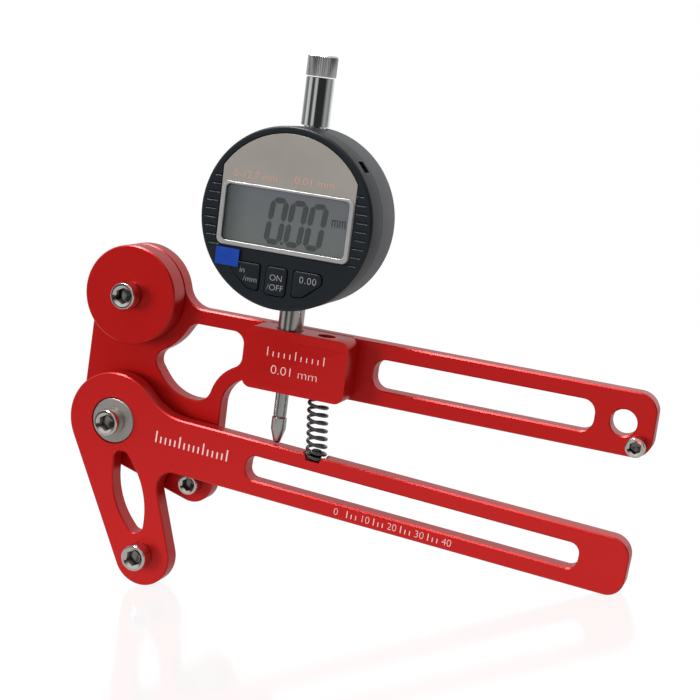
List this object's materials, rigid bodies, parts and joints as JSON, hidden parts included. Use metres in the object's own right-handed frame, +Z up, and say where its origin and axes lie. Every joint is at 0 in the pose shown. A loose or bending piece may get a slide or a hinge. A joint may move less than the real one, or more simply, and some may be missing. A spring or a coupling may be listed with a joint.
{
  "type": "spoke tension meter",
  "caption": "Hand tool for wheel spokes: two hinged plates with posts, a handle spring and a clamped digital plunger indicator that reads how far the lever turns.",
  "frame": {"origin": "middle of the bounding box's underside, on the surface that the tool stands on", "axes": "+X along the handles towards their ends, +Y from the front to the back of the plates, +Z up"},
  "size_m": [0.1928, 0.0326, 0.1675],
  "materials": {
    "anodised_frame": "red anodised aluminium, satin",
    "anodised_lever": "red anodised aluminium, satin",
    "steel": "bright turned steel",
    "grey_steel": "dull grey steel",
    "chrome": "polished chrome",
    "spring_steel": "dark oiled spring wire",
    "black_plastic": "dark moulded plastic",
    "grey_plastic": "grey moulded plastic",
    "fascia": "taupe printed plate, satin",
    "clear_pane": "clear gloss pane",
    "display": "grey liquid crystal display",
    "key_rubber": "matt black rubber",
    "board": "green board",
    "blue_film": "thin blue film",
    "brass": "turned brass"
  },
  "bodies": {
    "frame": {"frame_plate": "anodised_frame", "spacer_disc": "anodised_frame", "upper_post_screw": "steel", "pivot_screw": "steel", "pivot_bush": "grey_steel", "pivot_washer": "steel", "pivot_nut": "steel", "rest_stop_screw": "steel", "squeeze_stop_screw": "steel", "stem_clamp_screw": "steel", "handle_spring": "spring_steel", "spring_guide_screw": "steel", "gauge_bezel": "black_plastic", "gauge_housing": "grey_plastic", "rear_cover": "grey_plastic", "battery_cover": "black_plastic", "rear_cover_screw_1": "steel", "rear_cover_screw_2": "steel", "rear_cover_screw_3": "steel", "rear_cover_screw_4": "steel", "fascia_plate": "fascia", "window_trim": "steel", "display_window": "clear_pane", "lcd_panel": "display", "circuit_board": "board", "coin_cell": "steel", "film_tab": "blue_film", "gauge_stem": "steel", "dust_tube": "chrome", "dust_cap": "chrome", "plunger_guide": "brass", "plunger_spring": "spring_steel"},
    "lever": {"lever_plate": "anodised_lever", "lower_post_screw": "steel", "spring_seat_pin": "steel"},
    "plunger": {"plunger_rod": "steel", "contact_point": "grey_steel", "encoder_scale": "board"},
    "mode_key": {"mode_button": "key_rubber"},
    "power_key": {"power_button": "key_rubber"},
    "zero_key": {"zero_button": "key_rubber"}
  },
  "joints": [
    {"name": "lever_hinge", "type": "hinge", "parent": "frame", "child": "lever", "pos_m": [-0.08042, 0.00052, 0.05569], "axis": [0, -1, 0], "range_deg": [0, 7.7], "stiffness_Nm_per_rad": 7.35, "springref_deg": -10.89, "deforming": ["handle_spring"]},
    {"name": "plunger_slide", "type": "slide", "parent": "frame", "child": "plunger", "axis": [0.215, 0, 0.9766], "range_m": [0, 0.0078], "deforming": ["plunger_spring"]},
    {"name": "mode_button_press", "type": "slide", "parent": "frame", "child": "mode_key", "axis": [0, 1, 0], "range_m": [0, 0.0006], "stiffness_N_per_m": 900},
    {"name": "power_button_press", "type": "slide", "parent": "frame", "child": "power_key", "axis": [0, 1, 0], "range_m": [0, 0.0006], "stiffness_N_per_m": 900},
    {"name": "zero_button_press", "type": "slide", "parent": "frame", "child": "zero_key", "axis": [0, 1, 0], "range_m": [0, 0.0006], "stiffness_N_per_m": 900}
  ],
  "couplings": [
    {"joint": "plunger_slide", "follows": "lever_hinge", "m_per_rad": 0.05734}
  ]
}
